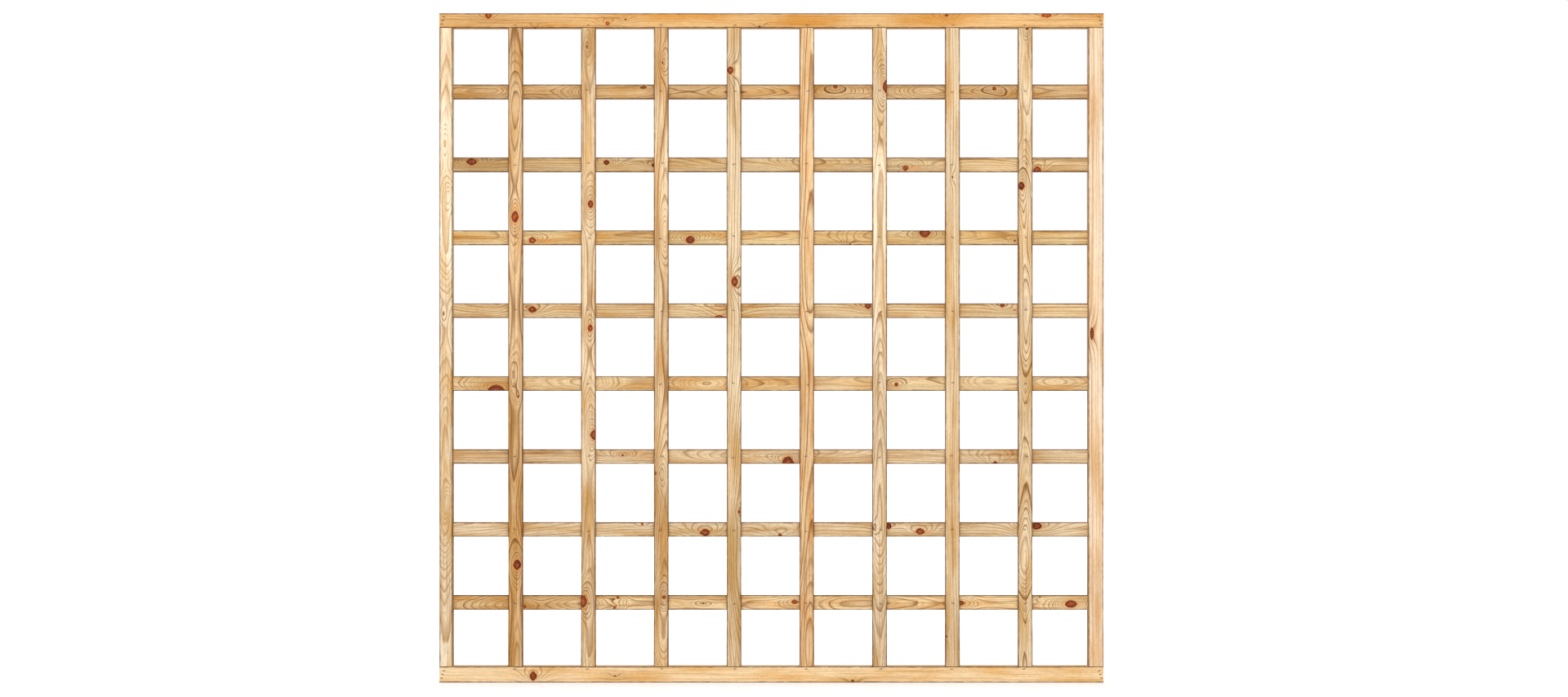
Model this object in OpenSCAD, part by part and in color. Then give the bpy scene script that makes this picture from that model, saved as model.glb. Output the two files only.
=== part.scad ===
// Square garden trellis panel of planed softwood.
// A frame halved at its corners holds two layers of slats that cross face to face,
// and wire staples fix every crossing, every slat end and every corner.
// The panel stands on its bottom rail with its front towards -Y.
// The origin is the middle of the foot, halfway through the depth. Sizes are in millimetres.

/* [Panel] */
// Overall width of the panel
panel_w = 1815; // [1000:5:2400]
// Overall height of the panel
panel_h = 1830; // [1000:5:2400]

/* [Frame] */
// Height of the top rail
top_rail_h = 40; // [32:1:60]
// Height of the bottom rail
bottom_rail_h = 44; // [32:1:60]
// Width of the left stile
left_stile_w = 36; // [32:1:60]
// Width of the right stile
right_stile_w = 42; // [32:1:60]

/* [Slats] */
// Number of upright slats, in the front layer
vertical_count = 8; // [3:1:10]
// Number of level slats, in the back layer
horizontal_count = 8; // [3:1:10]
// Width of a slat across its face
slat_w = 40; // [28:1:60]
// Thickness of a slat: the two layers together make the depth of the frame
slat_t = 19; // [14:0.5:25]
// Clear width between a stile and the nearest upright slat
side_opening = 152; // [60:1:200]
// Clear height between a rail and the nearest level slat
end_opening = 153; // [60:1:200]
// Radius of the eased long edges
arris_r = 1.5; // [0.5:0.1:3]
// Gap that the saw leaves at a slat's end and at the shoulder of a corner lap
saw_gap = 0.2; // [0.05:0.05:0.5]

/* [Staples] */
// Width of a staple across its crown
crown_w = 6; // [5:0.1:10]
// Width of the staple wire, along the crown
wire_w = 1.2; // [0.8:0.05:1.6]
// Thickness of the staple wire, across the crown
wire_t = 1; // [0.8:0.05:1.6]
// Length of the chisel point on each leg
point_l = 2.5; // [1:0.1:4]
// Depth of a driven crown below the wood
crown_sink = 0.4; // [0.1:0.05:1]
// Slack all round the wire in the slot that it has cut
wire_slack = 0.05; // [0.02:0.01:0.15]
// Wood left behind the points of a staple driven square to the face
back_cover = 7; // [2:0.5:10]
// Slant of a staple at a slat's end, measured from the face
toe_angle = 45; // [35:1:60]
// Distance of a slanted staple's crown from the frame's inner edge
toe_edge = 8; // [5:0.5:12]
// Wood left in the slat under the points of a slanted staple
toe_cover = 2; // [1:0.5:4]
// Distance of the middle staple on a corner lap from the rail's end
corner_edge = 9; // [8:0.5:14]
// Distance between neighbouring staples on a corner lap, along the rail
corner_step = 3; // [2:0.5:4]
// Rise from one staple to the next on a corner lap
corner_rise = 10; // [8.5:0.5:11]
// Furthest that a staple strays from its mark
staple_scatter = 4; // [0:0.5:6]
// Furthest that a staple at a crossing or corner is twisted
staple_twist = 25; // [0:1:40]
// Choice of one pattern of strays and twists
scatter_seed = 7; // [1:1:99]

/* [Hidden] */
$fn = 32;
frame_t = 2 * slat_t;
front_y = -frame_t / 2;
back_y = frame_t / 2;
left_x = -panel_w / 2;
right_x = panel_w / 2;
inner_left_x = left_x + left_stile_w;
inner_right_x = right_x - right_stile_w;
inner_top_z = panel_h - top_rail_h;
vertical_pitch = (inner_right_x - inner_left_x - slat_w - 2 * side_opening) / (vertical_count - 1);
horizontal_pitch = (inner_top_z - bottom_rail_h - slat_w - 2 * end_opening) / (horizontal_count - 1);

long_leg = frame_t - crown_sink - back_cover;
toe_sink = (crown_sink + wire_t / 2 * cos(toe_angle)) / sin(toe_angle);
toe_leg = (slat_t - toe_cover) / sin(toe_angle) - toe_sink;
slot_lead = 2 * toe_sink + wire_t;
lap_overcut = 1;

crossing_count = vertical_count * horizontal_count;
crossing_dx = rands(-staple_scatter, staple_scatter, crossing_count, scatter_seed);
crossing_dz = rands(-staple_scatter, staple_scatter, crossing_count, scatter_seed + 1);
crossing_twist = rands(-staple_twist, staple_twist, crossing_count, scatter_seed + 2);
rail_toe_dx = rands(-staple_scatter, staple_scatter, 2 * vertical_count, scatter_seed + 3);
stile_toe_dz = rands(-staple_scatter, staple_scatter, 2 * horizontal_count, scatter_seed + 4);
corner_twist = rands(-staple_twist, staple_twist, 12, scatter_seed + 5);

// Slats are counted from the left and from the top
function vertical_x(i) = inner_left_x + side_opening + slat_w / 2 + (i - 1) * vertical_pitch;
function horizontal_z(j) = inner_top_z - end_opening - slat_w / 2 - (j - 1) * horizontal_pitch;

// Outline of a planed bar's cross-section, centred, with eased corners
module bar_section(w, t) {
  r = min(arris_r, t / 4);
  square([w - 2 * r, t], center = true);
  square([w, t - 2 * r], center = true);
  for (x = [-1, 1], y = [-1, 1])
    translate([x * (w / 2 - r), y * (t / 2 - r)]) circle(r);
}

module upright_bar(length, w, t) linear_extrude(length) bar_section(w, t);

module level_bar(length, w, t) rotate([0, 90, 0]) linear_extrude(length) bar_section(w, t);

// Outline of a staple, crown upwards; slack widens it and lead raises its crown to cut a slot
function staple_outline(leg, slack, lead) =
  let (
    outer = crown_w / 2 + slack,
    inner = crown_w / 2 - wire_w - slack,
    tip = -leg - slack
  )
  [
    [-outer, lead], [outer, lead], [outer, tip], [inner, tip + point_l],
    [inner, -wire_w - slack], [-inner, -wire_w - slack], [-inner, tip + point_l], [-outer, tip]
  ];

// The crown lies along X and the legs run down -Z
module staple(leg, slack = 0, lead = 0)
  rotate([90, 0, 0])
    linear_extrude(wire_t + 2 * slack, center = true)
      polygon(staple_outline(leg, slack, lead));

module slot(leg) staple(leg, wire_slack, slot_lead);

// Places on the two faces: Z points out of the wood
module on_front(x, z) translate([x, front_y, z]) rotate([90, 0, 0]) children();

module on_back(x, z) translate([x, back_y, z]) rotate([90, 0, 180]) children();

module square_on(twist) rotate([0, 0, twist]) translate([0, 0, -crown_sink]) children();

module slanted(swing)
  rotate([0, 0, swing]) rotate([toe_angle - 90, 0, 0]) translate([0, 0, -toe_sink]) children();

module at_crossing(i, j) {
  k = (i - 1) * horizontal_count + j - 1;
  on_front(vertical_x(i) + crossing_dx[k], horizontal_z(j) + crossing_dz[k])
    square_on(crossing_twist[k]) children();
}

module at_top_end(i)
  on_front(vertical_x(i) + rail_toe_dx[i - 1], inner_top_z + toe_edge) slanted(0) children();

module at_bottom_end(i)
  on_front(vertical_x(i) + rail_toe_dx[vertical_count + i - 1], bottom_rail_h - toe_edge)
    slanted(180) children();

module at_left_end(j)
  on_back(inner_left_x - toe_edge, horizontal_z(j) + stile_toe_dz[j - 1]) slanted(-90) children();

module at_right_end(j)
  on_back(inner_right_x + toe_edge, horizontal_z(j) + stile_toe_dz[horizontal_count + j - 1])
    slanted(90) children();

// Three staples in a steep row on a lap, whose middle one is at x, z
module at_lap(x, z, corner, side)
  for (k = [0 : 2])
    on_front(x + side * (k - 1) * corner_step, z + (k - 1) * corner_rise)
      square_on(corner_twist[3 * corner + k]) children();

module at_top_laps() {
  at_lap(left_x + corner_edge, panel_h - top_rail_h / 2, 0, 1) children();
  at_lap(right_x - corner_edge, panel_h - top_rail_h / 2, 1, -1) children();
}

module at_bottom_laps() {
  at_lap(left_x + corner_edge, bottom_rail_h / 2, 2, 1) children();
  at_lap(right_x - corner_edge, bottom_rail_h / 2, 3, -1) children();
}

// A rail runs the full width in front, and its back half stops at the stiles
module rail(z, h)
  difference() {
    translate([left_x, 0, z + h / 2]) level_bar(panel_w, h, frame_t);
    translate([left_x - lap_overcut, 0, z - lap_overcut])
      cube([left_stile_w + lap_overcut + saw_gap, frame_t, h + 2 * lap_overcut]);
    translate([inner_right_x - saw_gap, 0, z - lap_overcut])
      cube([right_stile_w + lap_overcut + saw_gap, frame_t, h + 2 * lap_overcut]);
  }

// A stile runs the full height behind, and its front half stops at the rails
module stile(x, w)
  difference() {
    translate([x + w / 2, 0, 0]) upright_bar(panel_h, w, frame_t);
    translate([x - lap_overcut, -frame_t, -lap_overcut])
      cube([w + 2 * lap_overcut, frame_t, bottom_rail_h + lap_overcut + saw_gap]);
    translate([x - lap_overcut, -frame_t, inner_top_z - saw_gap])
      cube([w + 2 * lap_overcut, frame_t, top_rail_h + lap_overcut + saw_gap]);
  }

module top_rail()
  color("burlywood") difference() {
    rail(inner_top_z, top_rail_h);
    for (i = [1 : vertical_count]) at_top_end(i) slot(toe_leg);
    at_top_laps() slot(long_leg);
  }

module bottom_rail()
  color("wheat") difference() {
    rail(0, bottom_rail_h);
    for (i = [1 : vertical_count]) at_bottom_end(i) slot(toe_leg);
    at_bottom_laps() slot(long_leg);
  }

module left_stile()
  color("wheat") difference() {
    stile(left_x, left_stile_w);
    for (j = [1 : horizontal_count]) at_left_end(j) slot(toe_leg);
    at_top_laps() slot(long_leg);
    at_bottom_laps() slot(long_leg);
  }

module right_stile()
  color("navajowhite") difference() {
    stile(inner_right_x, right_stile_w);
    for (j = [1 : horizontal_count]) at_right_end(j) slot(toe_leg);
    at_top_laps() slot(long_leg);
    at_bottom_laps() slot(long_leg);
  }

module vertical_slat(i)
  color("burlywood") difference() {
    translate([vertical_x(i), front_y + slat_t / 2, bottom_rail_h + saw_gap])
      upright_bar(inner_top_z - bottom_rail_h - 2 * saw_gap, slat_w, slat_t);
    for (j = [1 : horizontal_count]) at_crossing(i, j) slot(long_leg);
    at_top_end(i) slot(toe_leg);
    at_bottom_end(i) slot(toe_leg);
  }

module horizontal_slat(j)
  color("tan") difference() {
    translate([inner_left_x + saw_gap, back_y - slat_t / 2, horizontal_z(j)])
      level_bar(inner_right_x - inner_left_x - 2 * saw_gap, slat_w, slat_t);
    for (i = [1 : vertical_count]) at_crossing(i, j) slot(long_leg);
    at_left_end(j) slot(toe_leg);
    at_right_end(j) slot(toe_leg);
  }

module crossing_staples()
  color("dimgray")
    for (i = [1 : vertical_count], j = [1 : horizontal_count]) at_crossing(i, j) staple(long_leg);

module top_rail_staples()
  color("dimgray") for (i = [1 : vertical_count]) at_top_end(i) staple(toe_leg);

module bottom_rail_staples()
  color("dimgray") for (i = [1 : vertical_count]) at_bottom_end(i) staple(toe_leg);

module left_stile_staples()
  color("dimgray") for (j = [1 : horizontal_count]) at_left_end(j) staple(toe_leg);

module right_stile_staples()
  color("dimgray") for (j = [1 : horizontal_count]) at_right_end(j) staple(toe_leg);

module corner_staples()
  color("dimgray") {
    at_top_laps() staple(long_leg);
    at_bottom_laps() staple(long_leg);
  }

top_rail();
bottom_rail();
left_stile();
right_stile();
for (i = [1 : vertical_count])
  vertical_slat(i);
for (j = [1 : horizontal_count])
  horizontal_slat(j);
crossing_staples();
top_rail_staples();
bottom_rail_staples();
left_stile_staples();
right_stile_staples();
corner_staples();
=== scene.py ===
# A square trellis panel of planed pine with stapled slats, in a plain bright studio.
# Places on a timber are in millimetres; everything that goes into the scene is in metres.
import math
import random
from typing import NamedTuple

import bmesh
import bpy
import numpy as np
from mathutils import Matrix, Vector, noise


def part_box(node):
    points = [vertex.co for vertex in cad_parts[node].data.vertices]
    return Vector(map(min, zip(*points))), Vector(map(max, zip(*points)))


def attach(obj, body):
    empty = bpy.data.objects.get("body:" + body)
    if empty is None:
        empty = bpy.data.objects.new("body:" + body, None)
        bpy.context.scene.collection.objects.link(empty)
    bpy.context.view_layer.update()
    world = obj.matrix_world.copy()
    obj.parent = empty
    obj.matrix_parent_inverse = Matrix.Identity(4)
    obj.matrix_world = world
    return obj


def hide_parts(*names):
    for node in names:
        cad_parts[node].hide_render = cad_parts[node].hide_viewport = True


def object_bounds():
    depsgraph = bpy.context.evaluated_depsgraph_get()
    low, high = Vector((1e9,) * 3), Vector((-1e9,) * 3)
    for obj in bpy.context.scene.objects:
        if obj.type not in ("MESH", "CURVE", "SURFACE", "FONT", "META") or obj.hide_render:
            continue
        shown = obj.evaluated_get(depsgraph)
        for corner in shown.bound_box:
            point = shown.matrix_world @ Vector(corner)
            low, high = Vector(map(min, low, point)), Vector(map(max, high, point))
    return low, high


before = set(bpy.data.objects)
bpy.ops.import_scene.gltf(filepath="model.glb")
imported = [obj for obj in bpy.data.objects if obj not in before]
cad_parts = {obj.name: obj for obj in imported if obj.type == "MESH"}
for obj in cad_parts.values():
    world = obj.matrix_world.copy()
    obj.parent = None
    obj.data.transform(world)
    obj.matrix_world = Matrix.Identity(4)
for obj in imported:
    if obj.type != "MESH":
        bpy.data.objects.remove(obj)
cad_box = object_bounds()

MM = 0.001

# Sizes of the timbers and their wear: lengths in millimetres, a share of the length, and noise seeds
saw_gap = 0.2
arris_r = 1.5
arris_least = 0.8
arris_most = 2.4
arris_wavelength = 70
chip_most = 3
small_chips = 7
chip_share = 0.48
chip_lengths = (3, 12)
chip_depths = (0.4, 1.6)
knot_dish = 0.25
face_wave = 0.1
face_wavelength = 130
face_slant = 0.02
front_seed = 3
back_seed = 9

# The staples' crowns, the grooves they are sunk in and the stains round them, in millimetres
crown_half = 3.2
crown_thick = 0.8
crown_sunk = 2
crown_margin = 2
groove_half = 0.6
groove_slope = 0.9
groove_depth = 0.8
stain_ahead = 1
stain_beside = 1.6

# How fine the meshes are: lengths in millimetres, angles in degrees, reaches in half lengths,
# and the edge of the map as a share of its width
station_step = 24
knot_step = 3
knot_reach = 1.4
chip_step = 2
chip_reach = 1.5
staple_step = 0.8
station_least = 0.6 * staple_step
line_least = 0.75 * staple_step
lines_per_face = 9
face_margin = 0.6
edge_slack = 0.01
thin_half = 12
cheek_strips = 5
arris_turns = (0, 30, 60, 90)
sharp_angle = 40
weld_distance = 0.001
slat_rows = 4
frame_rows = 3
map_gap = 3
map_edge = 0.004

# Corners of a cross-section as signs of its width and depth
corners = [(-1, -1), (1, -1), (1, 1), (-1, 1)]


# Kinds of pine

class Stock(NamedTuple):
    """Colours of one kind of pine in daylight, from 0 to 255."""
    early: tuple
    late: tuple
    warm: tuple


class Cut(NamedTuple):
    """How the saw met the log: the pith's place from the timber's middle, and the width of a year.

    The pith strays by bend over about reach, and contrast is how dark the end of a year is.
    """
    across: float
    depth: float
    year: float
    bend: float
    reach: float
    contrast: float = 1.0


class Knot(NamedTuple):
    """A branch cut through: its place, half sizes and darkness, and the length of resin past it."""
    along: float
    across: float
    long: float
    wide: float
    dark: float = 0.6
    streak: float = 0.0


class Swell(NamedTuple):
    """Where the years bulge: reach is its length to the left or below, tail to the right or above.

    Without a tail it reaches as far both ways.
    """
    along: float
    reach: float
    amount: float
    across: float = 0.0
    wide: float = 60.0
    tail: float = 0.0


class Shade(NamedTuple):
    """A stretch of a timber that is darker and warmer than the rest, or paler if amount is negative."""
    along: float
    reach: float
    amount: float


class Chip(NamedTuple):
    """A break in a long edge: its place, which of the corners it is on, its half length and its depth."""
    along: float
    corner: int
    long: float
    deep: float


class Board(NamedTuple):
    """One timber: its node, its finish, how bright it is as a whole, and what its face shows."""
    node: str
    slot: str
    stock: Stock
    cut: Cut
    tone: float = 1.0
    knots: tuple = ()
    swells: tuple = ()
    shades: tuple = ()
    chips: tuple = ()


golden = Stock((234, 190, 130), (180, 112, 42), (220, 154, 72))
cream = Stock((247, 218, 174), (204, 150, 82), (232, 184, 118))
pale = Stock((249, 233, 204), (182, 130, 64), (220, 176, 110))
pink = Stock((249, 226, 196), (204, 152, 100), (232, 188, 138))
amber = Stock((230, 196, 150), (128, 76, 28), (204, 152, 84))
honey = Stock((238, 209, 155), (144, 90, 34), (216, 162, 88))
biscuit = Stock((238, 210, 162), (143, 90, 36), (215, 162, 93))
peach = Stock((233, 202, 156), (148, 92, 42), (212, 156, 94))
tan = Stock((238, 210, 168), (142, 90, 38), (214, 162, 98))
wheat = Stock((239, 213, 173), (143, 93, 41), (214, 167, 105))
chalk = Stock((242, 220, 187), (144, 98, 48), (216, 178, 122))
sand = Stock((227, 190, 140), (128, 76, 28), (200, 148, 78))
straw = Stock((240, 216, 178), (144, 96, 44), (214, 172, 112))
sage = Stock((229, 200, 153), (132, 86, 36), (206, 158, 90))

straight = Cut(across=70, depth=30, year=4.2, bend=8, reach=600, contrast=0.65)
cathedral = Cut(across=0, depth=20, year=3.2, bend=10, reach=420, contrast=0.95)
broad = Cut(across=10, depth=26, year=3.4, bend=12, reach=520, contrast=0.85)
plain = Cut(across=60, depth=60, year=4.0, bend=10, reach=700, contrast=0.5)

frame_boards = (
    Board(
        "top_rail", "golden_pine", golden, plain,
        knots=(
            Knot(-774, 14, 9, 8, 0.15),
            Knot(-647, -20, 3, 3, 0.8),
            Knot(-448, -8, 5.5, 5.5, 0.1),
            Knot(-399, 3, 3, 2, 0.8),
            Knot(-33, -17, 4, 3, 0.6),
            Knot(478, 14, 5, 3, 0.6, 30),
            Knot(751, 14, 14, 6, 0.1),
        ),
        swells=(Swell(478, 50, -15, 8, 18),),
        shades=(Shade(-720, 160, 0.06), Shade(700, 220, -0.07)),
    ),
    Board(
        "bottom_rail", "pale_pine", cream,
        plain._replace(year=6, contrast=0.35), tone=1.04,
        knots=(
            Knot(-651, -4, 9, 12, 0.75),
            Knot(-428, -4, 3, 2, 0.8),
            Knot(222, -17, 4, 3, 0.6),
        ),
    ),
    Board(
        "left_stile", "pale_pine", pale,
        broad._replace(across=0, contrast=0.9), tone=1.05,
        knots=(Knot(1007, -7, 3, 2, 0.5),),
        swells=(
            Swell(1476, 40, -12, -3, 14),
            Swell(1331, 40, -12, 8, 14),
            Swell(1190, 120, -24, tail=420),
            Swell(509, 30, -10, 8, 14),
            Swell(472, 34, -10, -3, 14),
            Swell(430, 130, -24, tail=380),
        ),
        shades=(Shade(1400, 270, -0.12), Shade(600, 330, 0.07), Shade(230, 200, 0.09)),
        chips=(Chip(1313, 1, 6, 5),),
    ),
    Board(
        "right_stile", "pink_pine", pink,
        straight._replace(year=8), tone=1.05,
        knots=(Knot(954, -11, 16, 5, 0.8, 10),),
        shades=(Shade(280, 300, 0.07),),
    ),
)

upright_boards = (
    Board(
        "vertical_slat_1", "upright_pine", amber,
        cathedral._replace(year=3.6), tone=1.08,
        knots=(
            Knot(1273, -1, 15, 9.5, 0.55, 40),
            Knot(783, 8, 3, 2.5, 0.9),
            Knot(322, 5, 13, 10, 0.8),
        ),
        swells=(Swell(1560, 300, -16.8, tail=120), Swell(840, 50, -12, -8, 16)),
        shades=(
            Shade(1690, 130, 0.1),
            Shade(1230, 180, -0.14),
            Shade(520, 300, 0.1),
            Shade(100, 100, 0.08),
        ),
    ),
    Board(
        "vertical_slat_2", "upright_pine", wheat,
        broad._replace(across=6, year=4, contrast=0.75), tone=1.04,
        knots=(
            Knot(1739, -4, 2.5, 2.5, 1.0),
            Knot(1308, 6, 10.5, 7, 0.6),
            Knot(969, 5, 9.5, 6.5, 0.6),
            Knot(677, 15, 13, 9, 0.6),
            Knot(222, -15, 16, 12, 0.4),
        ),
        swells=(
            Swell(1755, 50, -15, -4, 14),
            Swell(1308, 60, -18, 2, 40),
            Swell(690, 90, -15, 10, 24),
            Swell(130, 200, -27, tail=300),
        ),
        shades=(Shade(1750, 60, 0.1), Shade(1080, 90, -0.1), Shade(300, 200, 0.08)),
    ),
    Board(
        "vertical_slat_3", "upright_pine", tan,
        broad._replace(across=14, year=4.2, contrast=0.9), tone=1.02,
        knots=(
            Knot(1695, 4, 3, 2, 0.8),
            Knot(572, -16, 5, 3, 0.6),
            Knot(233, 8, 5, 5, 0.5),
        ),
        swells=(
            Swell(1700, 40, -12, 8, 14),
            Swell(1230, 60, -18, 10, 14),
            Swell(570, 45, -14, -1, 14),
            Swell(235, 45, -14, 4, 24),
            Swell(140, 120, -28, tail=330),
        ),
        shades=(Shade(1440, 180, -0.1), Shade(380, 330, 0.09)),
    ),
    Board(
        "vertical_slat_4", "upright_pine", straw,
        straight._replace(across=40, year=4.6, contrast=0.95), tone=1.02,
        knots=(
            Knot(1674, -10, 10.5, 8, 0.7),
            Knot(1096, 2, 14, 8.5, 0.65),
            Knot(467, 14, 5, 3, 0.6),
        ),
        swells=(Swell(330, 190, -27, 4, tail=420),),
        shades=(Shade(1400, 300, -0.04), Shade(280, 190, 0.1)),
    ),
    Board(
        "vertical_slat_5", "upright_pine", peach,
        broad._replace(across=14, year=5.4, contrast=1.15), tone=1.11,
        swells=(Swell(1060, 120, -17, 4, tail=330), Swell(70, 200, -30, 4, tail=330)),
        shades=(Shade(1450, 220, -0.1), Shade(400, 380, 0.06)),
    ),
    Board(
        "vertical_slat_6", "upright_pine", chalk,
        broad._replace(across=0, year=3.8, contrast=0.9), tone=1.08,
        knots=(
            Knot(1630, 18, 16, 9, 0.85),
            Knot(422, -20, 5, 4, 0.7),
        ),
        swells=(
            Swell(1630, 60, -15, 10, 24),
            Swell(1180, 130, -9, tail=330),
            Swell(447, 190, -42, tail=520),
        ),
        shades=(Shade(1230, 180, -0.15), Shade(600, 300, 0.08), Shade(80, 200, 0.12)),
    ),
    Board(
        "vertical_slat_7", "upright_pine", wheat,
        straight._replace(across=50), tone=1.02,
        knots=(
            Knot(1382, 0, 3, 2, 0.7),
            Knot(126, -17, 3, 3, 0.8),
        ),
        shades=(Shade(1120, 180, -0.05), Shade(140, 120, 0.1)),
    ),
    Board(
        "vertical_slat_8", "upright_pine", straw,
        cathedral._replace(depth=24, year=3.4, contrast=1.1), tone=1.04,
        knots=(
            Knot(1788, 5, 4, 4, 0.9),
            Knot(1358, -11, 11, 8.5, 0.85),
        ),
        swells=(
            Swell(1330, 110, -17.4, -14, 30),
            Swell(930, 130, -30, 6, 40, 420),
            Swell(340, 120, -33, tail=190),
        ),
        shades=(Shade(1230, 110, -0.12), Shade(780, 180, 0.08)),
    ),
)

level_boards = (
    Board(
        "horizontal_slat_1", "level_pine", sand,
        cathedral._replace(contrast=1), tone=0.99,
        knots=(
            Knot(-350, 15, 3, 2, 0.9),
            Knot(175, 14, 6, 5, 0.6),
            Knot(610, 9, 5, 5, 0.7),
            Knot(632, -11, 3, 2, 0.7),
        ),
        swells=(
            Swell(-760, 150, -18, tail=60),
            Swell(-500, 70, -19, tail=260),
            Swell(-100, 90, -19.8, tail=200),
            Swell(175, 80, -18, 6, 30),
            Swell(420, 80, -19, tail=130),
            Swell(610, 80, -18, 6, 30),
        ),
        shades=(Shade(-820, 80, 0.06), Shade(-210, 90, 0.06), Shade(10, 90, -0.07)),
    ),
    Board(
        "horizontal_slat_2", "level_pine", sage,
        broad._replace(across=20), tone=0.985,
        knots=(
            Knot(-821, 8, 13, 9, 0.7),
            Knot(-452, 6, 8, 6, 0.95),
            Knot(-323, -1, 5, 5, 1),
            Knot(367, -9, 7, 7, 0.7, 65),
            Knot(728, -15, 10, 10, 0.6),
        ),
        swells=(Swell(90, 60, -21, 0, 40, 260), Swell(367, 60, -15, -6, 20)),
        shades=(Shade(-800, 160, 0.12), Shade(620, 280, -0.13)),
    ),
    Board(
        "horizontal_slat_3", "level_pine", honey,
        broad._replace(contrast=0.75), tone=0.98,
        knots=(
            Knot(-655, -7, 9, 8, 0.5, 90),
            Knot(-223, -6, 12, 10, 0.7),
            Knot(215, -17, 3, 3, 0.6),
            Knot(420, 13, 14, 12, 0.6),
            Knot(666, -8, 3, 3, 0.5),
        ),
        swells=(
            Swell(-760, 260, -20, tail=70),
            Swell(-223, 60, -18, 0, 30),
            Swell(270, 90, -20, tail=240),
        ),
    ),
    Board(
        "horizontal_slat_4", "level_pine", biscuit,
        straight._replace(across=36, year=5, contrast=1.1), tone=0.99,
        knots=(
            Knot(-655, 3, 11, 8, 0.7),
            Knot(-142, -17, 12, 4, 0.7),
            Knot(264, 13, 8, 8, 0.7),
            Knot(632, 15, 6, 6, 0.7),
            Knot(666, 2, 3, 2, 0.7),
        ),
        swells=(Swell(-760, 280, -24, tail=70), Swell(-140, 60, -18, 3, 30)),
        shades=(Shade(-800, 120, 0.07), Shade(800, 120, -0.09)),
    ),
    Board(
        "horizontal_slat_5", "level_pine", biscuit,
        broad._replace(across=8, year=3.6, contrast=0.85), tone=1.03,
        knots=(
            Knot(-754, -18, 22, 14, 0.65),
            Knot(342, -2, 5, 5, 0.7),
        ),
        swells=(
            Swell(-760, 70, -21, -10, 40),
            Swell(-500, 190, -28, tail=60),
            Swell(-180, 80, -23, 0, 30),
            Swell(600, 80, -24, tail=260),
            Swell(790, 70, -18, tail=200),
        ),
    ),
    Board(
        "horizontal_slat_6", "level_pine", tan,
        broad._replace(across=18, year=3.8, contrast=0.75), tone=0.97,
        knots=(
            Knot(-408, 4, 3, 3, 0.7, 20),
            Knot(45, -16, 15, 15, 0.65),
            Knot(612, -18, 6, 5, 0.9),
        ),
        swells=(
            Swell(-408, 40, -12, 4, 20),
            Swell(20, 240, -27, -6, 40, 80),
            Swell(612, 60, -18, -8, 40),
        ),
        shades=(Shade(-700, 160, 0.08),),
    ),
    Board(
        "horizontal_slat_7", "level_pine", straw,
        straight._replace(across=30, depth=22, year=6, contrast=0.9),
        knots=(
            Knot(-354, 15, 3, 3, 0.9),
            Knot(-182, -8, 13, 9, 0.65),
            Knot(23, -15, 5, 4, 0.6),
            Knot(320, 10, 8, 8, 0.85),
            Knot(407, -5, 12, 8, 0.6, 40),
            Knot(726, 10, 14, 9, 0.85),
        ),
        swells=(
            Swell(-930, 330, -36, wide=90),
            Swell(-182, 70, -17, -4, 30),
            Swell(30, 60, -18, -4, 18),
            Swell(400, 70, -17, -2, 30),
            Swell(720, 60, -24, wide=90, tail=200),
        ),
    ),
    Board(
        "horizontal_slat_8", "level_pine", biscuit,
        broad._replace(across=-6, year=3.8, contrast=1.05), tone=1.09,
        knots=(
            Knot(-676, -11, 4, 4, 0.4),
            Knot(-421, 14, 4, 4, 0.5),
            Knot(-430, -13, 4, 4, 0.5),
            Knot(-187, -2, 3, 2, 0.6),
            Knot(63, 2, 7, 6, 0.6),
            Knot(518, -1, 9, 6, 0.7),
            Knot(735, 15, 3, 2, 0.7),
            Knot(820, -4, 16, 10, 0.6),
        ),
        swells=(
            Swell(-700, 150, -28, tail=40),
            Swell(-495, 130, -30, tail=60),
            Swell(200, 80, -17, tail=240),
            Swell(820, 45, -19, -2, 40),
        ),
        shades=(Shade(-680, 240, 0.12), Shade(20, 100, -0.08), Shade(640, 260, -0.08)),
    ),
)

staple_nodes = (
    "crossing_staples", "top_rail_staples", "bottom_rail_staples",
    "left_stile_staples", "right_stile_staples", "corner_staples",
)


# Where a timber lies

class Lie(NamedTuple):
    """Middle of a timber, its sizes, and the directions of its length, its face's width and its depth."""
    node: str
    middle: np.ndarray
    length: float
    width: float
    thick: float
    axes: np.ndarray
    upright: bool

    def points(self, places):
        """Scene points, in metres, of places along, across and into the timber, in millimetres."""
        return (self.middle + np.asarray(places) @ self.axes) * MM

    def along(self, place):
        """Distance from the timber's middle of a height or a place across the panel."""
        return place - self.middle[2 if self.upright else 0]

    def on_face(self, point):
        """Along and across the timber, of a point in millimetres."""
        return (self.axes @ (point - self.middle))[:2]


def lie_of(node):
    low, high = (np.array(corner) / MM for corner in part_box(node))
    size = high - low
    upright = size[2] > size[0]
    axes = np.array([[0, 0, 1], [1, 0, 0], [0, 1, 0]] if upright else [[1, 0, 0], [0, 0, 1], [0, 1, 0]])
    length, width, thick = axes @ size
    return Lie(node, (low + high) / 2, length, width, thick, axes, upright)


# Where the staples are

class Crown(NamedTuple):
    """Middle and direction of a staple's crown, and whether it is on the front."""
    middle: np.ndarray
    direction: np.ndarray
    front: bool


class Sunk(NamedTuple):
    """A crown in one timber: its place and direction on the face, and whether that is the front."""
    along: float
    across: float
    direction: np.ndarray
    front: bool

    def distances(self, along, across):
        """How far places on the face lie from the crown's middle, in its direction and beside it."""
        off_along = along - self.along
        off_across = across - self.across
        ahead = abs(off_along * self.direction[0] + off_across * self.direction[1])
        beside = abs(off_across * self.direction[0] - off_along * self.direction[1])
        return ahead, beside


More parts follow.
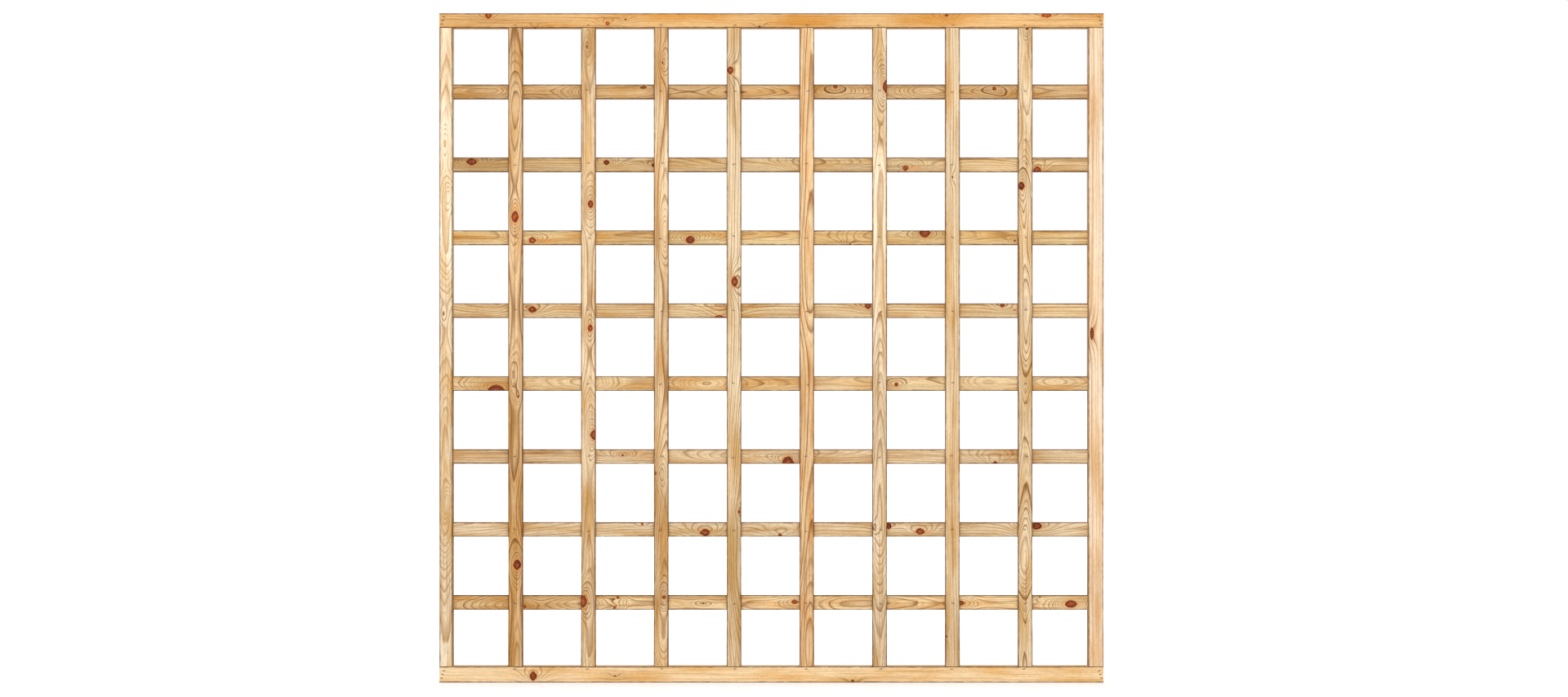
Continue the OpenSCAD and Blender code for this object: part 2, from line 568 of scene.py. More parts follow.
def crowns_of(node):
    """Crowns of a node's staples, each from the outermost points of its solid."""
    group = bmesh.new()
    group.from_mesh(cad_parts[node].data)
    bmesh.ops.remove_doubles(group, verts=group.verts, dist=weld_distance * MM)
    front = "stile" not in node
    waiting = set(group.verts)
    found = []
    for start in group.verts:
        if start not in waiting:
            continue
        waiting.discard(start)
        island = [start]
        for vertex in island:
            joined = [edge.other_vert(vertex) for edge in vertex.link_edges]
            near = [other for other in joined if other in waiting]
            island.extend(near)
            waiting.difference_update(near)
        points = np.array([vertex.co for vertex in island]) / MM
        outward = -points[:, 1] if front else points[:, 1]
        crown = points[outward > outward.max() - crown_thick]
        middle = crown.mean(0)
        direction = np.linalg.svd(crown - middle)[2][0]
        found.append(Crown(middle, direction, front))
    group.free()
    return found


all_crowns = [crown for node in staple_nodes for crown in crowns_of(node)]


def crowns_on(lie):
    """Crowns that show on a timber."""
    shown = []
    for crown in all_crowns:
        along, across = lie.on_face(crown.middle)
        inside = abs(along) < lie.length / 2 and abs(across) < lie.width / 2
        face_depth = lie.middle[1] + (-1 if crown.front else 1) * lie.thick / 2
        if inside and abs(face_depth - crown.middle[1]) < crown_sunk:
            shown.append(Sunk(along, across, lie.axes[:2] @ crown.direction, crown.front))
    return shown


# Meshes of the timbers

def smooth(low, high, values):
    """Rises smoothly from 0 at low to 1 at high."""
    part = np.clip((values - low) / (high - low), 0, 1)
    return part * part * (3 - 2 * part)


def wave(values, wavelength, seed):
    """Gentle noise from -1 to 1 along a line."""
    return np.array([noise.noise(Vector((value / wavelength, seed, 0.5))) for value in values])


def face_lines(lie, crowns, front):
    """Where columns run along a face, closer together at its staples."""
    edge = lie.width / 2 - (arris_most + face_margin)
    lines = list(np.linspace(-edge, edge, lines_per_face))
    for crown in crowns:
        if crown.front == front:
            first = crown.across - crown_half - crown_margin
            last = crown.across + crown_half + crown_margin
            lines += list(np.arange(first, last, staple_step))
    kept = []
    for line in sorted(lines):
        apart = not kept or line - kept[-1] > line_least
        if apart and abs(line) < edge + edge_slack:
            kept.append(line)
    return kept


def columns_of(lie, crowns):
    """Corners and face lines of the cross-section, counter-clockwise from the middle of the left side.

    The second result is the number of the column at the middle of the right side.
    """
    turns = np.radians(arris_turns)
    half_t = lie.thick / 2
    side = [0] if half_t < thin_half else [0, half_t / 2]
    columns = [("side", -1, -place) for place in side]
    columns += [("corner", (-1, -1), turn + math.pi) for turn in turns]
    columns += [("face", -1, line) for line in face_lines(lie, crowns, True)]
    columns += [("corner", (1, -1), turn + 1.5 * math.pi) for turn in turns]
    columns += [("side", 1, -place) for place in reversed(side)]
    middle = len(columns) - 1
    columns += [("side", 1, place) for place in side[1:]]
    columns += [("corner", (1, 1), turn) for turn in turns]
    columns += [("face", 1, line) for line in reversed(face_lines(lie, crowns, False))]
    columns += [("corner", (-1, 1), turn + 0.5 * math.pi) for turn in turns]
    columns += [("side", -1, place) for place in reversed(side[1:])]
    return columns, middle


def stations_of(lie, board, crowns, chips, fixed):
    """Places along a timber where its cross-section is set, closer together where there is detail."""
    half = lie.length / 2
    marks = list(np.linspace(-half, half, round(lie.length / station_step)))
    for crown in crowns:
        reach = abs(crown.direction[0]) * crown_half + crown_margin
        marks += list(np.arange(crown.along - reach, crown.along + reach, staple_step))
    for knot in board.knots:
        place = lie.along(knot.along)
        reach = knot.long * knot_reach
        marks += list(np.arange(place - reach, place + reach, knot_step))
    for chip in chips:
        reach = chip_reach * chip.long
        marks += list(np.arange(chip.along - reach, chip.along + reach, chip_step))
    kept = sorted(fixed)
    for mark in sorted(marks):
        if abs(mark) < half and min(abs(mark - place) for place in kept) > station_least:
            kept.append(mark)
    return np.array(sorted(kept))


def hollow(lie, board, crowns, along, across, front):
    """How far a face lies below its plane: a slight unevenness, dished knots and staple grooves."""
    face_seed = front_seed if front else back_seed
    depth = face_wave * (0.5 + 0.5 * wave(along, face_wavelength, across * face_slant + face_seed))
    for knot in board.knots:
        off_along = (along - lie.along(knot.along)) / knot.long
        off_across = (across - knot.across) / knot.wide
        depth += knot_dish * np.exp(-(off_along * off_along + off_across * off_across) ** 2)
    for crown in crowns:
        if crown.front == front:
            ahead, beside = crown.distances(along, across)
            groove = 1 - smooth(groove_half, groove_half + groove_slope, beside)
            depth += groove_depth * groove * (1 - smooth(crown_half, crown_half + groove_slope, ahead))
    return depth


def stain(crowns, along, across, front):
    """How much a staple has marked the wood at a place, from 0 to 1."""
    mark = np.zeros_like(along)
    for crown in crowns:
        if crown.front == front:
            ahead, beside = crown.distances(along, across)
            ahead = ahead / (crown_half + stain_ahead)
            beside = beside / stain_beside
            mark = np.maximum(mark, np.exp(-(ahead ** 4 + beside ** 2)))
    return mark


def chips_of(lie, board, draw):
    """The board's own chips, and small ones along its edges."""
    chips = [chip._replace(along=lie.along(chip.along)) for chip in board.chips]
    for _ in range(small_chips):
        place = draw.uniform(-chip_share, chip_share) * lie.length
        corner = draw.randrange(len(corners))
        long = draw.uniform(*chip_lengths)
        chips.append(Chip(place, corner, long, draw.uniform(*chip_depths)))
    return chips


def half_lap(lie):
    """Which half of a frame timber is short, as the sign of its depth, and where its shoulders are."""
    if "rail" in lie.node:
        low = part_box("left_stile")[1][0] / MM + saw_gap
        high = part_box("right_stile")[0][0] / MM - saw_gap
        return 1, lie.along(low), lie.along(high)
    if "stile" in lie.node:
        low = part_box("bottom_rail")[1][2] / MM + saw_gap
        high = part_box("top_rail")[0][2] / MM - saw_gap
        return -1, lie.along(low), lie.along(high)
    return 0, -lie.length / 2, lie.length / 2


def eased_edges(stations, chips, seed):
    """Radius of each long edge at every station, larger where a chip has broken away."""
    radius = []
    for number in range(len(corners)):
        worn = wave(stations, arris_wavelength, seed + 11 * number)
        eased = arris_r * (0.95 + 0.5 * worn)
        for chip in chips:
            if chip.corner == number:
                eased = eased + chip.deep * np.exp(-((stations - chip.along) / chip.long) ** 2)
        radius.append(np.clip(eased, arris_least, arris_most + chip_most))
    return radius


def skin_of(lie, board, crowns, columns, stations, radius):
    """Places of all columns at all stations, in millimetres, and how far staples have stained them."""
    places = np.zeros((len(columns), len(stations), 3))
    places[:, :, 0] = stations
    marks = np.zeros((len(columns), len(stations)))
    for number, (kind, side, value) in enumerate(columns):
        if kind == "corner":
            eased = radius[corners.index(side)]
            places[number, :, 1] = side[0] * (lie.width / 2 - eased) + eased * math.cos(value)
            places[number, :, 2] = side[1] * (lie.thick / 2 - eased) + eased * math.sin(value)
        elif kind == "side":
            places[number, :, 1] = side * lie.width / 2
            places[number, :, 2] = value
        else:
            depth = hollow(lie, board, crowns, stations, value, side < 0)
            places[number, :, 1] = value
            places[number, :, 2] = side * (lie.thick / 2 - depth)
            marks[number] = stain(crowns, stations, value, side < 0)
    return places, marks


class Strip(NamedTuple):
    """A lengthwise strip of the surface between two columns, with its place in the unrolled outline."""
    first: int
    second: int
    start: float
    end: float


def chain(columns, places):
    """Strips between neighbouring columns."""
    return [Strip(*pair) for pair in zip(columns, columns[1:], places, places[1:])]


class Outline(NamedTuple):
    """Strips between the shoulders and beyond them, columns round the flats, and the length all round."""
    inner: list
    outer: list
    cap: list
    shoulder: list
    around: float


def outline_of(lie, section, middle, cheek, short):
    """The cross-section unrolled. Beyond its shoulders a frame timber is halved, down to its cheek."""
    count = len(section)
    steps = np.linalg.norm(section - np.roll(section, 1, axis=0), axis=1)
    unrolled = np.concatenate([[0], np.cumsum(steps[1:])])
    around = float(unrolled[-1] + steps[0])
    ring = list(range(count)) + [0]
    ring_places = list(unrolled) + [around]
    inner = chain(ring, ring_places)
    cheek_places = np.linspace(0, lie.width, cheek_strips + 1)
    front_half = ring[:middle + 1]
    back_half = ring[middle:]
    if short > 0:
        outer = chain(front_half, ring_places[:middle + 1])
        outer += chain([middle] + cheek[::-1] + [0], list(unrolled[middle] + cheek_places))
        return Outline(inner, outer, front_half + cheek[::-1], back_half + cheek, around)
    if short < 0:
        outer = chain(back_half, ring_places[middle:])
        outer += chain([0] + cheek + [middle], list(cheek_places))
        return Outline(inner, outer, back_half + cheek, front_half + cheek[::-1], around)
    return Outline(inner, inner, ring[:-1], [], around)


def timber_mesh(lie, board, seed):
    """A timber's surface as one closed mesh, with its map and its grain coordinates in millimetres."""
    crowns = crowns_on(lie)
    chips = chips_of(lie, board, random.Random(seed))
    short, low, high = half_lap(lie)
    half = lie.length / 2
    rows = frame_rows if short else slat_rows
    row_ends = np.linspace(-half, half, rows + 1)
    stations = stations_of(lie, board, crowns, chips, {*row_ends, low, high})
    columns, middle = columns_of(lie, crowns)
    radius = eased_edges(stations, chips, seed)
    places, marks = skin_of(lie, board, crowns, columns, stations, radius)
    count = len(columns)
    cheek_lines = np.linspace(-lie.width / 2, lie.width / 2, cheek_strips + 1)[1:-1]
    cheek = [count + number for number in range(len(cheek_lines))]
    outline = outline_of(lie, places[:, len(stations) // 2, 1:], middle, cheek, short)

    # Vertices, made when a face first needs them
    numbers = {}
    grain = []
    mark = []

    def vertex(station, column):
        key = (station, column)
        if key not in numbers:
            numbers[key] = len(grain)
            if column < count:
                grain.append(places[column, station])
                mark.append(marks[column, station])
            else:
                grain.append((stations[station], cheek_lines[column - count], 0))
                mark.append(0)
        return numbers[key]

    # The map has rows of the unrolled outline, each a share of the length, and a last row of flats
    faces = []
    maps = []
    row_length = lie.length / rows
    row_height = outline.around + map_gap
    map_height = rows * row_height + lie.thick + map_gap

    def map_strip(station, row, place):
        share = (stations[station] - row_ends[row]) / row_length
        return map_edge + (1 - 2 * map_edge) * share, (row * row_height + place + 1) / map_height

    for station in range(len(stations) - 1):
        centre = (stations[station] + stations[station + 1]) / 2
        row = min(int((centre + half) / row_length), rows - 1)
        for strip in outline.inner if low < centre < high else outline.outer:
            faces.append([
                vertex(station, strip.first), vertex(station, strip.second),
                vertex(station + 1, strip.second), vertex(station + 1, strip.first),
            ])
            maps.append([
                map_strip(station, row, strip.start), map_strip(station, row, strip.end),
                map_strip(station + 1, row, strip.end), map_strip(station + 1, row, strip.start),
            ])

    # End caps and shoulders
    flats = [(0, outline.cap[::-1]), (len(stations) - 1, outline.cap)]
    if short:
        flats.append((int(np.argmin(abs(stations - low))), outline.shoulder[::-1]))
        flats.append((int(np.argmin(abs(stations - high))), outline.shoulder))
    for number, (station, edge) in enumerate(flats):
        face = [vertex(station, column) for column in edge]
        faces.append(face)
        left = number * (lie.width + map_gap) + lie.width / 2 + 1
        base = rows * row_height + lie.thick / 2 + 1
        maps.append([
            ((left + grain[index][1]) / row_length, (base + grain[index][2]) / map_height)
            for index in face
        ])

    if not lie.upright:
        faces = [face[::-1] for face in faces]
        maps = [corner_maps[::-1] for corner_maps in maps]
    mesh = bpy.data.meshes.new(lie.node + "_wood")
    mesh.from_pydata(lie.points(grain).tolist(), [], faces)
    layer = mesh.uv_layers.new(name="OFBake")
    layer.data.foreach_set("uv", np.array([xy for face in maps for xy in face], float).ravel())
    mesh.attributes.new("grain", "FLOAT_VECTOR", "POINT").data.foreach_set("vector", np.ravel(grain))
    mesh.attributes.new("mark", "FLOAT", "POINT").data.foreach_set("value", mark)
    mesh.shade_smooth()
    mesh.set_sharp_from_angle(angle=math.radians(sharp_angle))
    return mesh


# Arithmetic in shader trees

class Wire:
    """One output in a shader tree, which plain arithmetic turns into further nodes."""

    def __init__(self, tree, socket):
        self.tree = tree
        self.socket = socket

    def __add__(self, other):
        return calc("ADD", self, other)

    def __radd__(self, other):
        return calc("ADD", other, self)

    def __sub__(self, other):
        return calc("SUBTRACT", self, other)

    def __rsub__(self, other):
        return calc("SUBTRACT", other, self)

    def __mul__(self, other):
        return calc("MULTIPLY", self, other)

    def __rmul__(self, other):
        return calc("MULTIPLY", other, self)

    def __truediv__(self, other):
        return calc("DIVIDE", self, other)

    def __pow__(self, other):
        return calc("POWER", self, other)


def feed(socket, value):
    if isinstance(value, Wire):
        value.tree.links.new(value.socket, socket)
    else:
        socket.default_value = value


def calc(operation, *values):
    tree = next(value.tree for value in values if isinstance(value, Wire))
    node = tree.nodes.new("ShaderNodeMath")
    node.operation = operation
    for socket, value in zip(node.inputs, values):
        feed(socket, value)
    return Wire(tree, node.outputs[0])


def rise(value, low, high):
    """0 at low, 1 at high, and smooth between them."""
    node = value.tree.nodes.new("ShaderNodeMapRange")
    node.interpolation_type = "SMOOTHSTEP"
    feed(node.inputs["Value"], value)
    node.inputs["From Min"].default_value = low
    node.inputs["From Max"].default_value = high
    return Wire(value.tree, node.outputs["Result"])


def stretched(vector, along, across, shift=0.0):
    """A place counted in lengths of along and across, which are in the place's own unit."""
    node = vector.tree.nodes.new("ShaderNodeVectorMath")
    node.operation = "MULTIPLY_ADD"
    feed(node.inputs[0], vector)
    node.inputs[1].default_value = (1 / along, 1 / across, 1 / across)
    node.inputs[2].default_value = (shift, shift * 0.7, shift * 1.3)
    return Wire(vector.tree, node.outputs[0])


def cloud(vector, detail=2.0, rough=0.5):
    """Noise in space, from 0 to 1."""
    node = vector.tree.nodes.new("ShaderNodeTexNoise")
    feed(node.inputs["Vector"], vector)
    node.inputs["Scale"].default_value = 1
    node.inputs["Detail"].default_value = detail
    node.inputs["Roughness"].default_value = rough
    return Wire(vector.tree, node.outputs[0])


def drift(value):
    """Noise along a line, from -1 to 1."""
    node = value.tree.nodes.new("ShaderNodeTexNoise")
    node.noise_dimensions = "1D"
    feed(node.inputs["W"], value)
    node.inputs["Scale"].default_value = 1
    node.inputs["Detail"].default_value = 1
    return Wire(value.tree, node.outputs[0]) * 2 - 1


def chance(value):
    """A number from 0 to 1 that belongs to a whole number."""
    node = value.tree.nodes.new("ShaderNodeTexWhiteNoise")
    node.noise_dimensions = "1D"
    feed(node.inputs["W"], value)
    return Wire(value.tree, node.outputs["Value"])


def split(vector):
    node = vector.tree.nodes.new("ShaderNodeSeparateXYZ")
    feed(node.inputs[0], vector)
    return [Wire(vector.tree, output) for output in node.outputs]


def mixed(part, first, second):
    """The first colour where part is 0 and the second where it is 1."""
    node = part.tree.nodes.new("ShaderNodeMix")
    node.data_type = "RGBA"
    feed(node.inputs[0], part)
    feed(node.inputs[6], first)
    feed(node.inputs[7], second)
    return Wire(part.tree, node.outputs[2])


def scaled(colours, amount):
    """A colour made lighter or darker."""
    node = colours.tree.nodes.new("ShaderNodeVectorMath")
    node.operation = "SCALE"
    feed(node.inputs[0], colours)
    feed(node.inputs["Scale"], amount)
    return Wire(colours.tree, node.outputs[0])


def attribute(tree, name, output):
    node = tree.nodes.new("ShaderNodeAttribute")
    node.attribute_name = name
    return Wire(tree, node.outputs[output])


def colour(red, green, blue):
    """A daylight colour from 0 to 255 as the renderer counts it."""
    def linear(value):
        value /= 255
        return value / 12.92 if value <= 0.04045 else ((value + 0.055) / 1.055) ** 2.4
    return linear(red), linear(green), linear(blue), 1.0


# Pine

slat_slots = ("upright_pine", "level_pine")
knot_core = colour(160, 62, 27)
knot_deep = colour(76, 26, 14)
knot_heart = colour(230, 136, 56)
knot_rim = colour(58, 24, 14)
knot_stroke = colour(104, 62, 28)
resin = colour(222, 140, 60)
# Dark brown for dirty edges and darker sawn ends, and for painted shade on the arrises and side faces
grime_and_shade = colour(92, 58, 32)
staple_stain = colour(70, 56, 44)

# Lengths of the wood's patterns along and across the timber, in millimetres
fibre_size = (45, 0.9)
thread_size = (34, 2.6)
streak_size = (260, 4.5)
patch_size = (190, 30)
mottle_size = (9, 3.6)
fleck_size = (14, 1.1)
bend_size = (420, 24)
ripple_size = (80, 6)
ragged_size = (9, 5)
flame_size = (5, 3)
# Patches of the darkened edges, which are partly dirt and partly painted shade
edge_patch_size = (22, 6)
cast_length = 330

# A knot's outline, from 1 for a lozenge to 2 for an oval, and how much of it is lost at the back
knot_square = 1.6
knot_taper = 0.3

# How far the years are pushed about, in millimetres
year_bend = 5
year_ripple = 1.2

# Heights of the fine relief, in millimetres
line_height = 0.05
fibre_height = 0.08
fleck_depth = 0.05
knot_height = 0.1
rim_depth = 0.25
relief_strength = 0.7

frame_rough = 0.72
slat_rough = 0.66
fibre_rough = 0.12
knot_polish = 0.18
wood_shine = 0.12


class KnotFields(NamedTuple):
    """What a timber's knots do to its figure and colour at a point."""
    swell: Wire
    core: Wire
    deep: Wire
    heart: Wire
    rim: Wire
    halo: Wire
    near: Wire


def knot_field(lie, knot, along, across, depth, ragged):
    """What one knot does: it narrows towards the back, and edge is 1 where it meets the wood."""
    into = (depth + lie.thick / 2) / lie.thick
    taper = 1 - into * knot_taper
    off_along = along - lie.along(knot.along)
    off_across = across - knot.across
    pull = calc("ABSOLUTE", off_along / knot.long) ** knot_square
    pull = pull + calc("ABSOLUTE", off_across / knot.wide) ** knot_square
    edge = pull ** (1 / knot_square) / taper + ragged * 0.5
    round_along = off_along / (knot.long * 2 + 16)
    round_across = off_across / (knot.wide * 1.4 + 6)
    bulge = (round_along * round_along + round_across * round_across) * -1
    core = rise(edge, 1.06, 0.92)
    dark_from = 0.5 - 1.2 * knot.dark
    dark_to = 0.8 - 0.3 * knot.dark
    halo = rise(edge, 2.0, 1.0) * 0.75
    if knot.streak:
        reach = knot.streak + knot.long
        trail = rise(off_along, 0, knot.long) * rise(calc("ABSOLUTE", off_along), reach, 0.3 * reach)
        beside = rise(calc("ABSOLUTE", off_across), knot.wide * 1.2, 0)
        halo = calc("MAXIMUM", halo, trail * beside * 0.8)
    return KnotFields(
        swell=calc("EXPONENT", bulge) * (4 + knot.wide * 1.6),
        core=core,
        deep=core * rise(edge, dark_from, dark_to) * (0.2 + 0.9 * knot.dark),
        heart=rise(edge, 0.8, 0.15) * (1 - 0.85 * knot.dark),
        rim=rise(edge, 0.84, 0.99) * rise(edge, 1.16, 1.02) * (0.3 + 0.7 * knot.dark),
        halo=halo,
        near=calc("EXPONENT", bulge * 0.5),
    )


def knot_fields(lie, board, grain, seed):
    """All knots together: their swells add up, and of the rest the strongest counts."""
    along, across, depth = split(grain)
    ragged = cloud(stretched(grain, *ragged_size, seed)) - 0.5
    total, *others = [knot_field(lie, knot, along, across, depth, ragged) for knot in board.knots]
    for found in others:
        strongest = [calc("MAXIMUM", *pair) for pair in zip(total[1:], found[1:])]
        total = KnotFields(total.swell + found.swell, *strongest)
    return total


def years_of(board, lie, grain, knots, seed):
    """Years from the pith at a point, as a number whose whole part counts them."""
    cut = board.cut
    along, across, depth = split(grain)
    bent_across = drift(along / cut.reach + seed * 3.1) * (cut.bend * 0.7)
    bent_depth = drift(along / cut.reach + seed * 5.7) * cut.bend
    side = across - cut.across - bent_across
    back = depth - cut.depth - bent_depth
    radius = calc("SQRT", side * side + back * back)
    radius = radius + (cloud(stretched(grain, *bend_size, seed), 1) - 0.5) * year_bend
    radius = radius + (cloud(stretched(grain, *ripple_size, seed + 1)) - 0.5) * year_ripple
    if knots:
        radius = radius - knots.swell
    for swell in board.swells:
        away = along - lie.along(swell.along)
        below = calc("MINIMUM", away, 0) / swell.reach
        above = calc("MAXIMUM", away, 0) / (swell.tail or swell.reach)
        off_along = below + above
        off_across = (across - swell.across) / swell.wide
        bulge = calc("EXPONENT", (off_along * off_along + off_across * off_across) * -1)
        radius = radius + bulge * swell.amount
    return radius / cut.year + drift(radius / (cut.year * 3) + seed) * 0.8


def year_lines(years, thread, seed):
    """The dark line that ends each year, from 0 to 1, broken up by the threads of the wood."""
    year = calc("FLOOR", years)
    part = years - year
    line = rise(part, 0.34, 0.95) ** 1.7 * rise(part, 1.0, 0.9)
    luck = chance(year + seed)
    between = calc("FRACT", years * 2.7)
    faint = rise(between, 0.4, 0.8) * rise(between, 1.0, 0.85) * 0.17
    lines = calc("MAXIMUM", line * (0.42 + luck * 0.58), faint)
    return lines * (0.3 + thread * 1.4)


def cast_of(board, lie, grain, seed):
    """How much darker a stretch of a timber is than the rest."""
    along = split(grain)[0]
    cast = drift(along / cast_length + seed * 2.3) * -0.07
    for shade in board.shades:
        off_along = (along - lie.along(shade.along)) / shade.reach
        cast = cast + calc("EXPONENT", off_along * off_along * -1) * shade.amount
    return cast


def with_knots(wood, knots, line, grain, seed):
    """Wood with dark strokes and resin round its knots, and the flamed knots themselves."""
    wood = mixed(knots.near * line * 0.8, wood, knot_stroke)
    wood = mixed(knots.halo * 0.7, wood, resin)
    rings = calc("SINE", knots.swell * 4)
    flame = cloud(stretched(grain, *flame_size, seed + 7), 3, 0.6)
    inside = mixed(knots.deep * rise(flame, 0.3, 0.58), knot_core, knot_deep)
    inside = mixed(knots.heart * rise(flame, 0.6, 0.4) + rings * 0.06, inside, knot_heart)
    wood = mixed(knots.core, wood, inside)
    return mixed(knots.rim, wood, knot_rim)


def with_dirt_and_shade(wood, lie, grain, mark, seed):
    """Wood with darker edges, partly dirt and partly painted shade, painted shade on its side faces,
    darker sawn ends and the stains of its staples.
    """
    along, across, depth = split(grain)
    from_side = lie.width / 2 - calc("ABSOLUTE", across)
    from_face = lie.thick / 2 - calc("ABSOLUTE", depth)
    from_edge = calc("MAXIMUM", from_side, from_face)
    patchy = cloud(stretched(grain, *edge_patch_size, seed + 9), 3)
    # Darker within a few millimetres of the long edges, in patches: partly dirt, partly painted shade at
    # the arrises
    dirt_and_shade = rise(from_edge + (patchy - 0.5) * 4, 3.6, 1.0) * 0.9
    # Painted shade: the side faces, which turn away from the lamps, are darkened all over
    dirt_and_shade = calc("MAXIMUM", dirt_and_shade, rise(from_side, 0.3, 0.05) * 0.35)
    wood = mixed(dirt_and_shade, wood, grime_and_shade)
    end = rise(calc("ABSOLUTE", along), lie.length / 2 - 0.1, lie.length / 2 - 0.02)
    wood = mixed(end * 0.4, wood, grime_and_shade)
    return mixed(mark * 0.65, wood, staple_stain)


def new_material(name, roughness):
    material = bpy.data.materials.new(name)
    material.use_nodes = True
    shader = material.node_tree.nodes["Principled BSDF"]
    shader.inputs["Roughness"].default_value = roughness
    return material, material.node_tree, shader.inputs


def pine(board, lie, seed):
    """The wood of one board. Each pattern takes a seed of its own from the board's."""
    material, tree, inputs = new_material(board.node + "_pine", frame_rough)
    inputs["Specular IOR Level"].default_value = wood_shine
    early, late, warm = (colour(*shade) for shade in board.stock)
    grain = attribute(tree, "grain", "Vector")
    fibre = cloud(stretched(grain, *fibre_size, seed + 4), 3, 0.6)
    thread = cloud(stretched(grain, *thread_size, seed + 3), 3, 0.65)
    streak = cloud(stretched(grain, *streak_size, seed + 8))
    patch = cloud(stretched(grain, *patch_size, seed + 2))
    mottle = cloud(stretched(grain, *mottle_size, seed + 5))
    fleck = rise(cloud(stretched(grain, *fleck_size, seed + 6), 1), 0.66, 0.78)
    knots = knot_fields(lie, board, grain, seed) if board.knots else None
    line = year_lines(years_of(board, lie, grain, knots, seed), thread, seed)
    height = line * line_height + fibre * fibre_height - fleck * fleck_depth
    rough = slat_rough + fibre * fibre_rough

    # Darker stretches are warmer too
    cast = cast_of(board, lie, grain, seed)
    wood = mixed(rise(patch, 0.35, 0.75) + cast * 3, early, warm)
    wood = mixed(line * board.cut.contrast, wood, late)
    wood = mixed(rise(streak, 0.48, 0.76) * 0.55, wood, late)
    if knots:
        wood = with_knots(wood, knots, line, grain, seed)
        height = height - knots.rim * rim_depth + knots.core * knot_height
        rough = rough - knots.core * knot_polish
    wood = mixed(fleck * 0.4, wood, late)
    # Edge dirt, painted shade on the arrises and side faces, darker ends and staple stains
    wood = with_dirt_and_shade(wood, lie, grain, attribute(tree, "mark", "Fac"), seed)
    tone = 0.5 + fibre * 0.2 + thread * 0.5 + mottle * 0.32 - cast
    feed(inputs["Base Color"], scaled(wood, tone * board.tone))

    # The slats' sheen follows their fibre and knots, and the frame's is even
    if board.slot in slat_slots:
        feed(inputs["Roughness"], rough)
    bump = tree.nodes.new("ShaderNodeBump")
    bump.inputs["Strength"].default_value = relief_strength
    bump.inputs["Distance"].default_value = MM
    feed(bump.inputs["Height"], height)
    feed(inputs["Normal"], Wire(tree, bump.outputs["Normal"]))
    return material


# Galvanised wire

zinc_dark = colour(88, 70, 52)
zinc_pale = colour(128, 108, 84)
zinc_dull = colour(84, 60, 40)
spangle_size = 1.2
dull_size = 40
wire_rough = 0.6


def galvanised():
    material, tree, inputs = new_material("galvanised_wire", wire_rough)
    inputs["Metallic"].default_value = 1
    place = Wire(tree, tree.nodes.new("ShaderNodeTexCoord").outputs["Object"])
    spangle = cloud(stretched(place, spangle_size * MM, spangle_size * MM), 3)
    dull = cloud(stretched(place, dull_size * MM, dull_size * MM))
    zinc = mixed(rise(spangle, 0.35, 0.65), zinc_dark, zinc_pale)
    zinc = mixed(rise(dull, 0.45, 0.7) * 0.6, zinc, zinc_dull)
    feed(inputs["Base Color"], zinc)
    return material


# The pieces

for seed, board in enumerate(frame_boards + upright_boards + level_boards, 1):
    lie = lie_of(board.node)
    piece = bpy.data.objects.new(board.node + "_timber", timber_mesh(lie, board, seed))
    bpy.context.scene.collection.objects.link(piece)
    piece.data.materials.append(pine(board, lie, seed))
    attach(piece, "root")
    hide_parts(board.node)

wire = galvanised()
for name in staple_nodes:
    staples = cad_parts[name]
    staples.data.materials.clear()
    staples.data.materials.append(wire)


# The studio, in metres

lamp_distance = 6.5
lamp_height = 3.5
floor_half = 60
floor_level = -0.0005
ambient = 0.22
near_glow = 0.33
far_glow = 1.02
glow_from = 1.0
glow_to = 3.0


def area_light(name, place, target, width, height, watts):
    light = bpy.data.lights.new(name, "AREA")
    light.shape = "RECTANGLE"
    light.size = width
    light.size_y = height
    light.energy = watts
    lamp = bpy.data.objects.new(name, light)
    lamp.location = place
    lamp.rotation_euler = (Vector(target) - Vector(place)).to_track_quat("-Z", "Y").to_euler()
    lamp.visible_camera = False
    bpy.context.scene.collection.objects.link(lamp)


def to_camera(tree):
    """1 for what the camera sees, also in a mirror or through glass, and 0 for the light on things."""
    path = tree.nodes.new("ShaderNodeLightPath")
    seen = Wire(tree, path.outputs["Is Camera Ray"])
    seen = calc("MAXIMUM", seen, Wire(tree, path.outputs["Is Glossy Ray"]))
    return calc("MAXIMUM", seen, Wire(tree, path.outputs["Is Transmission Ray"]))


def white_world():
    """White to the camera, and a dimmer light on things."""
    world = bpy.data.worlds.new("studio")
    world.use_nodes = True
    background = world.node_tree.nodes["Background"].inputs
    background["Color"].default_value = (1, 1, 1, 1)
    feed(background["Strength"], to_camera(world.node_tree) * (1 - ambient) + ambient)
    bpy.context.scene.world = world


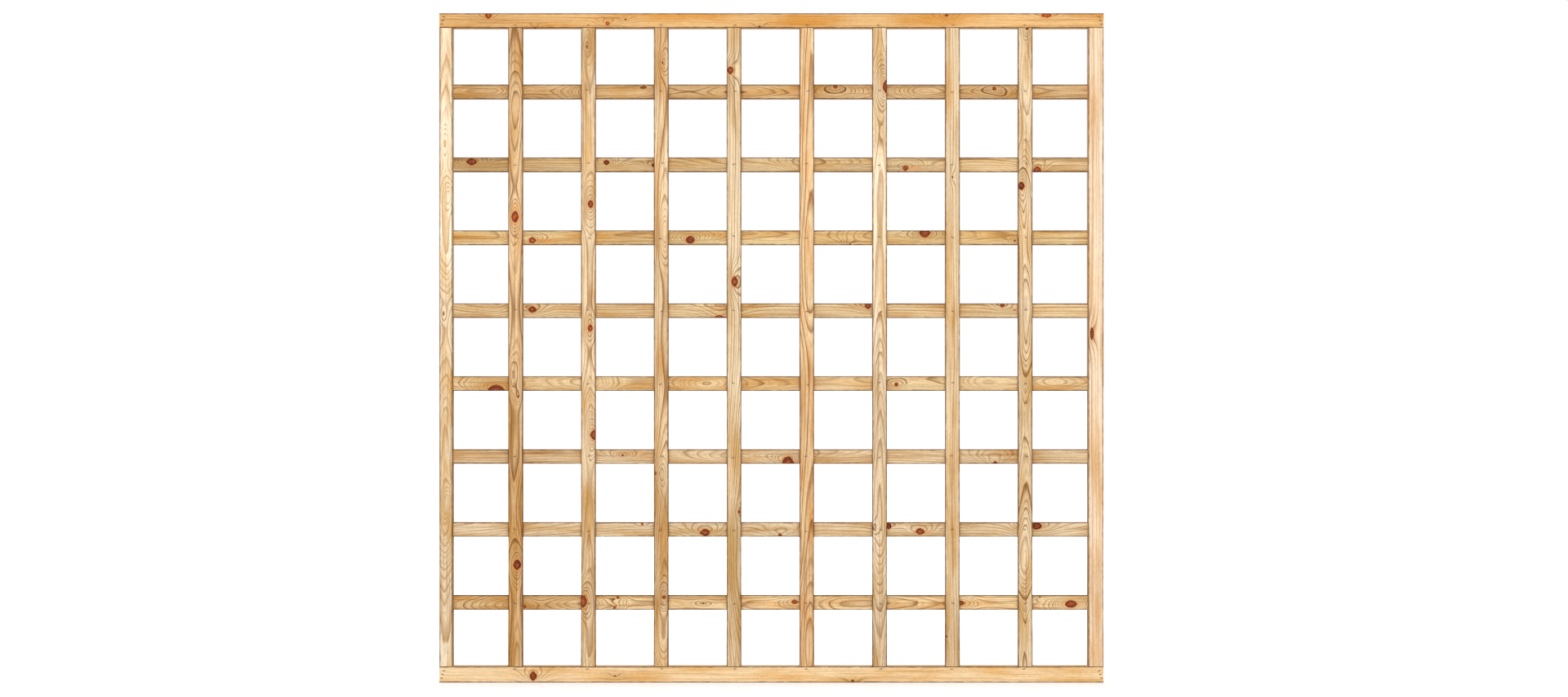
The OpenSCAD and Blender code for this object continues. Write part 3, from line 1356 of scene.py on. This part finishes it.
def pale_floor():
    """A floor that keeps the shadow near the panel and turns white further off."""
    shape = bmesh.new()
    bmesh.ops.create_grid(shape, x_segments=8, y_segments=8, size=floor_half)
    mesh = bpy.data.meshes.new("floor")
    shape.to_mesh(mesh)
    shape.free()
    floor = bpy.data.objects.new("floor", mesh)
    floor.location.z = floor_level
    bpy.context.scene.collection.objects.link(floor)
    material, tree, inputs = new_material("pale_floor", 0.9)
    inputs["Base Color"].default_value = (0.8, 0.8, 0.8, 1)
    inputs["Specular IOR Level"].default_value = 0.1
    inputs["Emission Color"].default_value = (1, 1, 1, 1)
    place = Wire(tree, tree.nodes.new("ShaderNodeTexCoord").outputs["Object"])
    across, along, _ = split(place)
    away = calc("SQRT", across * across + along * along)
    glow = near_glow + rise(away, glow_from, glow_to) * (far_glow - near_glow)
    feed(inputs["Emission Strength"], to_camera(tree) * glow)
    mesh.materials.append(material)


panel_middle = (cad_box[0] + cad_box[1]) / 2
area_light("key", (0, -lamp_distance, 2.2), panel_middle, 5, lamp_height, watts=278)
area_light("overhead", (0, 0, 5.5), (0, 0, 0), 5, 5, watts=110)
area_light("back_fill", (0, lamp_distance, 3), panel_middle, 5, lamp_height, watts=230)
area_light("left_side", (-lamp_distance, 0, 2.2), panel_middle, 1, lamp_height, watts=95)
area_light("right_side", (lamp_distance, 0, 2.2), panel_middle, 1, lamp_height, watts=95)
white_world()
pale_floor()

# The camera faces the panel square on; the sizes are the photograph's, seen at the panel's front
image_width = 1920
image_middle = (960, 427)
panel_left = 538.2
panel_right = 1351.2
panel_top = 16.2
panel_bottom = 836.3
distance = 7.9
front = cad_box[0].y
pixel = (cad_box[1].z - cad_box[0].z) / (panel_bottom - panel_top)

camera = bpy.data.objects.new("camera", bpy.data.cameras.new("camera"))
camera.data.sensor_width = 36
camera.data.lens = camera.data.sensor_width * distance / (image_width * pixel)
camera.location = (
    (image_middle[0] - (panel_left + panel_right) / 2) * pixel,
    front - distance,
    (panel_bottom - image_middle[1]) * pixel,
)
camera.rotation_euler = (math.pi / 2, 0, 0)
bpy.context.scene.collection.objects.link(camera)
bpy.context.scene.camera = camera
bpy.context.scene.view_settings.view_transform = "Standard"
